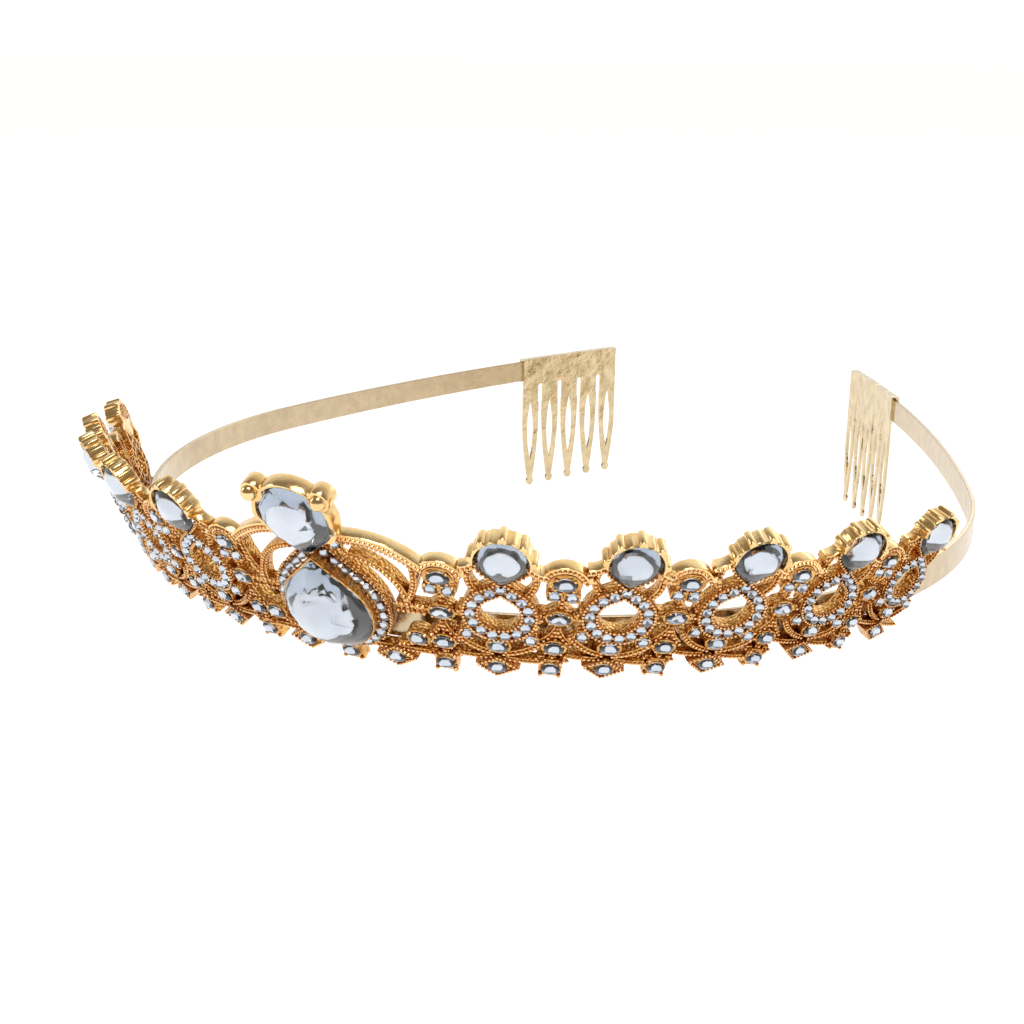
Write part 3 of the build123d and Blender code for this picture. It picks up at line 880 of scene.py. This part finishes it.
def link():
    bench = JewelBench()
    corners = square(1.65)
    hem_plate(bench, corners)
    for x, y in corners:
        bench.bead(x * 0.82, y * 0.82, PLATE, 0.36)
    bench.setting(0, LOWER_RISE, *LOWER_OVAL)
    bench.setting(0, MIDDLE_RISE, *MIDDLE_OVAL)
    bench.setting(0, 17.0, *CLUSTER_OVAL, wall=0.7)
    for x in (-1.2, 1.2):
        bench.setting(x, 14.75, ROUND, ROUND, wall=0.35)
    bump = arc_line((-2.9, 17.5), (0, 19.5), (2.9, 17.5))
    bench.strap(bump, 1.15, DEEP, FRONT + 0.1, RIM)
    for low, high in ((1.2, 3.0), (5.8, 9.0), (11.6, 14.0)):
        bench.strap([(0, low), (0, high)], 1.1, 0, PLATE - 0.4)
    for side in (-1, 1):
        bench.strap(flipped(arc_line((0, 8.2), (0.9, 6.2), (2.2, 4.9)), side), 1.0, 0, PLATE - 0.3)
        bench.strap(flipped(arc_line((2.4, 18.0), (3.0, 17.9), (3.9, 18.2)), side), 1.15, DEEP, FRONT, RIM)
        bench.strap([(side * 1.2, MIDDLE_RISE), (side * 2.9, MIDDLE_RISE)], 1.3, 0, PLATE - 0.35)
        bench.strap([(side * 1.0, 1.5), (side * 2.2, 1.5)], 1.0, 0, PLATE - 0.4)
    solder_pad(bench, 1.1, 0.4)
    return bench


LINK = link()
for side_name, side in SIDES:
    for number, step in enumerate(LINK_STEPS, 1):
        place = graded(side, step)
        tail = f"{side_name}_{number}"
        wear(LINK, f"cast_link_{tail}", place, [f"link_{tail}"])
        wear(LINK.small, f"link_gems_{tail}", place, [f"link_stones_{tail}"])
print("link faces", len(LINK.faces))

# %% [markdown]
# ## The centre
# The middle carries the big drop stone in a raised bezel with a halo of small stones, and a
# neck rises from it to the crest. The bezel could be a tube round the stone, but a real one
# is thin at its lip and leans in over the stone, so it is six levels of the same outline.

# %% Centre medallion
DROP_RISE, DROP_RADIUS, DROP_POINT = 9.55, 6.75, 9.4
HALO_LINE, HALO_WIDTH, HALO_PITCH = 1.2, 2.1, 1.93
DROP_BEZEL = 4.1
CENTRE_HEM_RISE = -0.45    # the middle hem stone sits a little low, clear of the halo
NECK_PLACES = ((1.5, 21.8), (3.5, 21.2))


def drop_line(grow):
    return moved(pear_line(DROP_RADIUS, DROP_POINT, grow, False, 90), 0, DROP_RISE)


def medallion():
    bench = JewelBench()
    places = spaced(drop_line(HALO_LINE), HALO_PITCH)
    bench.plate([drop_line(HALO_WIDTH), *bench.seats(places)], 0, PLATE_TOP, CAST, 0.16)
    for x, y in places:
        bench.stone(x, y, PAVE, PAVE, PLATE - 0.55)
    bench.beads(drop_line(HALO_WIDTH - 0.1), PLATE - 0.1, GRAIN)
    wall = [
        (0.1, PLATE - 0.3), (0.35, PLATE + 0.2), (0.33, DROP_BEZEL - 0.4),
        (0.15, DROP_BEZEL - 0.3), (0.03, DROP_BEZEL - 0.4), (0.03, 3.0),
    ]
    bench.levels([(drop_line(grow), height) for grow, height in wall], CAST, end=False)
    bench.beads(drop_line(0.42), PLATE + 0.55, 0.3, 0.95)
    bench.strap([(0, 19.5), (0, 27.5)], 5.0, 0, PLATE - 0.45, RIM, False)
    for side in (-1, 1):
        for x, y in NECK_PLACES:
            bench.setting(side * x, y, PAVE, PAVE, wall=0.35)
    hem_plate(bench, square(1.7), CENTRE_HEM_RISE)
    for x in (-1.35, 1.35):
        for y in (-1.8, 0.9):
            bench.bead(x, y, PLATE, 0.34)
    solder_pad(bench, 3.0, 0.0)
    return bench


print("halo stones", len(spaced(drop_line(HALO_LINE), HALO_PITCH)))

# %% [markdown]
# Two arched wings sweep from the neck down to the first links. Each lies in the plane of the
# first hem step, not in the centre's, so it is drawn flat there and carried over by a matrix.
# The second wing is the first one mirrored. Bending one wide casting would do it too, but
# it would smear the stones' seats.

# %% Wings and the whole centre
def wing():
    """One wing in the panel plane of the first hem step, with +X away from the centre."""
    bench = JewelBench()
    hem_plate(bench, diamond(3.2, 2.05))
    bench.beads(diamond(2.9, 1.85), PLATE, 0.27)
    bench.setting(4.0, 4.6, *LOWER_OVAL)
    bench.strap([(-5.5, 1.5), (-2.5, 1.4), (2.5, 1.4), (6.0, 1.5)], 1.0, 0, PLATE - 0.4)
    bench.strap([(1.6, MIDDLE_RISE), (5.8, MIDDLE_RISE)], 2.0, 0, PLATE - 0.35, CAST, False)
    for rise in (MIDDLE_RISE + 0.7, MIDDLE_RISE - 0.7):
        bench.beads([(1.8, rise), (5.6, rise)], PLATE - 0.25, GRAIN, closed=False)
    bench.strap(arc_line((0.8, 2.4), (3.5, 3.3), (6.0, 5.5)), 1.1, 0, PLATE - 0.35)
    arch = arc_line((-5.2, 21.9), (-1.0, 21.8), (6.1, RIM_RISE), 20)
    bench.strap(arch, 1.35, DEEP, FRONT, RIM)
    under = arc_line((-5.0, 20.9), (-1.0, 20.9), (5.6, 17.5), 20)
    bench.beads(under, PLATE - 0.35, GRAIN, closed=False)
    bench.strap(arc_line((-4.0, 19.0), (1.4, 16.0), (3.4, 10.0), 18), 1.2, 0, PLATE - 0.2)
    bench.strap(arc_line((3.6, 12.0), (4.8, 15.0), (5.0, 18.2)), 1.1, 0, PLATE - 0.2)
    return bench


def centre():
    """The medallion with both wings, in the row frame's panel millimetres at the centre."""
    whole = medallion()
    to_centre = panel_matrix(0).inverted() @ panel_matrix(1)
    half = JewelBench()
    half.merge(wing(), to_centre)
    whole.merge(half, Matrix.Identity(4))
    whole.merge(half, Matrix.Diagonal((-1, 1, 1, 1)))
    line = pear_line(DROP_RADIUS, DROP_POINT, 0.12, False, 26)
    whole.large.gem(line, 0, DROP_RISE, 3.7, 0.2, 3.0, 1.7, 0.46, (0.8, 0.56, 0.3))
    return whole


CENTRE = centre()
wear(CENTRE, "cast_medallion", panel_matrix(0), ["centre_medallion"])
wear(CENTRE.large, "drop_gem", panel_matrix(0), ["centre_drop_stone"])
wear(CENTRE.small, "centre_gems", panel_matrix(0), ["halo_stones", "centre_small_stones"])
print("centre faces", len(CENTRE.faces))

# %% [markdown]
# ## The crest
# The crest stands in front of the neck: a thick plain collar with a round bump and a ball at
# each shoulder, and the second largest stone. Its wall is the stone's outline at eight levels.
# Its lower end is cut flat, by holding the outline up at the sole, and the stone's tip hangs
# free below. A boolean could cut it, but it would leave a hard edge with poor faces.

# %% Crest
CREST_RISE, CREST_RADIUS, CREST_POINT = 27.0, 5.4, 6.6
CREST_DEPTH, CREST_BUMP, CREST_BEAD, CREST_SOLE = 2.6, 1.7, 1.25, 22.75
CREST_BUMP_ANGLE = math.radians(38)


def crest_line(grow):
    return moved(pear_line(CREST_RADIUS, CREST_POINT, grow, True, 80), 0, CREST_RISE)


def sunk(height):
    """Lets a level of the collar sink along the lower flanks, where the stone stands bare."""
    return lambda x, y: height - max(0, height - 1.7) * min(1, max(0, (CREST_RISE - 0.2 - y) / 2.6))


def crest():
    bench = JewelBench()
    levels = (0.2, 0.0), (0.7, 0.25), (0.8, 0.6), (0.78, 2.2)
    levels += (0.6, CREST_DEPTH), (0.3, CREST_DEPTH), (0.06, 2.45), (0.06, 0.6)
    wall = [([(x, max(y, CREST_SOLE)) for x, y in crest_line(grow)], sunk(height)) for grow, height in levels]
    bench.levels(wall, RIM)
    reach = CREST_RADIUS + 1.0
    across = reach * math.cos(CREST_BUMP_ANGLE)
    up = CREST_RISE + reach * math.sin(CREST_BUMP_ANGLE)
    for side in (-1, 1):
        bump = moved(oval_line(2 * CREST_BUMP, 2 * CREST_BUMP, 0, 36), side * across, up)
        bench.plate([bump], 0, CREST_DEPTH, RIM, 0.35)
        bench.bead(side * (across + 0.2), up + 0.1, CREST_DEPTH, CREST_BEAD - 0.1, RIM, 28, 16)
    line = pear_line(CREST_RADIUS, CREST_POINT, 0, True, 22)
    bench.large.gem(line, 0, CREST_RISE, 1.9, 0.2, 1.9, 1.2, 0.44, (0.78, 0.5, 0.26))
    return bench


CREST = crest()
place = panel_matrix(0) @ Matrix.Translation((0, 0, PLATE))
wear(CREST, "cast_crest", place, ["crest_setting"])
wear(CREST.large, "crest_gem", place, ["crest_stone"])
print("crest faces", len(CREST.faces))

# %% [markdown]
# ## Band and combs
# The band is a plain strip and the combs are stamped sheet, so their modelled shapes are
# already right and they could only be made worse. They keep their meshes and take a finish:
# the strip a fine even skin, and the combs a deep slow bump, for the shallow dents that
# folding the sheet over the strip leaves.

# %% Band and combs
def repaint(node, finish):
    """Gives a modelled piece a finish, in the slots that it already has."""
    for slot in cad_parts[node].material_slots:
        slot.material = finish


repaint("band", GOLD_BAND)
repaint("comb_left", GOLD_COMB)
repaint("comb_right", GOLD_COMB)

# %% [markdown]
# ## Camera
# A product view from a little above and to the right, close enough to show perspective. It
# could be placed with a Track To constraint, but that can't roll, and a hand-held view always
# rolls a little. So its three directions are worked out and set as a matrix.

# %% Camera
AZIMUTH, ELEVATION, ROLL = math.radians(24.49), math.radians(17.69), math.radians(0.57)
DISTANCE, LENS = 267.4, 50.98
AIM_ACROSS, AIM_BEHIND_FRONT = -4.85, 64.26
AIM = Vector((AIM_ACROSS, AIM_BEHIND_FRONT - FRONT_RADIUS, -HEM_DROP))

back = Vector((
    math.sin(AZIMUTH) * math.cos(ELEVATION),
    -math.cos(AZIMUTH) * math.cos(ELEVATION),
    math.sin(ELEVATION),
))
lens = bpy.data.cameras.new("camera")
lens.lens = LENS
lens.sensor_width = 36
lens.clip_start = 0.01
camera = bpy.data.objects.new("camera", lens)
bpy.context.scene.collection.objects.link(camera)
right = Vector((math.cos(AZIMUTH), math.sin(AZIMUTH), 0))
up = back.cross(right)
rolled_right = right * math.cos(ROLL) + up * math.sin(ROLL)
rolled_up = up * math.cos(ROLL) - right * math.sin(ROLL)
turn = Matrix((rolled_right, rolled_up, back)).transposed().to_4x4()
camera.matrix_world = Matrix.Translation((AIM + back * DISTANCE) * MM) @ turn
bpy.context.scene.camera = camera
print("camera at", tuple(round(v, 4) for v in camera.matrix_world.translation))

# %% [markdown]
# ## Floor
# The floor is white paper, wide enough to reach the horizon. White paper under soft lamps
# comes out grey beside bright gold, and stronger lamps would burn the gold out. So the paper
# also glows a little by itself.

# %% Floor
FLOOR_REACH = 20.0
FLOOR_DROP = 0.001         # under the lowest comb tooth
low = CAD_BOX[0].z - FLOOR_DROP
corners = [(x * FLOOR_REACH, y * FLOOR_REACH, low) for x, y in ((-1, -1), (1, -1), (1, 1), (-1, 1))]
floor_mesh = bpy.data.meshes.new("floor")
floor_mesh.from_pydata(corners, [], [(0, 1, 2, 3)])
paper = new_finish("paper")
paper.surface(
    Base_Color=paper.mix(paper.noise(30, 2), (0.93, 0.93, 0.93, 1), (0.96, 0.96, 0.96, 1)),
    Roughness=0.9,
    Emission_Color=(1, 1, 1, 1),
    Emission_Strength=0.5,
)
floor_mesh.materials.append(paper.owner)
floor = bpy.data.objects.new("floor", floor_mesh)
bpy.context.scene.collection.objects.link(floor)
print("floor at", round(low, 4))

# %% [markdown]
# ## Light
# Gold and facets only look alive when they have light and dark to mirror. An even white room
# would make them flat. So three soft lamps stand round the piece, and the room itself is a
# warm grey in front, turning to white behind: the fronts of the castings mirror the grey, and
# their edges the white. The view transform is the plain one, so that white stays white.

# %% Lamps and room
def lamp(name, place, size, power):
    """A soft rectangular lamp that points at the origin."""
    data = bpy.data.lights.new(name, "AREA")
    data.shape = "RECTANGLE"
    data.size, data.size_y = size
    data.energy = power
    light = bpy.data.objects.new(name, data)
    light.location = place
    light.rotation_mode = "QUATERNION"
    light.rotation_quaternion = Vector(place).to_track_quat("Z", "Y")
    bpy.context.scene.collection.objects.link(light)


lamp("key", (0.15, -0.35, 0.75), (0.4, 0.3), 1.8)
lamp("side", (-0.8, -0.3, 0.35), (0.2, 0.5), 1.0)
lamp("back", (0.3, 0.9, 0.5), (0.9, 0.4), 1.2)

WARM_GREY = (0.24, 0.21, 0.18)
room = Finish(bpy.data.worlds.new("room"), "Background")
direction = room.add("ShaderNodeTexCoord", out="Generated")
backwards = room.add("ShaderNodeSeparateXYZ", None, {0: direction}, "Y")
room.surface(Color=room.ramp(backwards, 0.0, 0.5, WARM_GREY), Strength=1.05)
bpy.context.scene.world = room.owner
bpy.context.scene.view_settings.view_transform = "Standard"
print("lamps", [light.name for light in bpy.data.lights], "room nodes", len(room.tree.nodes))

# %% [markdown]
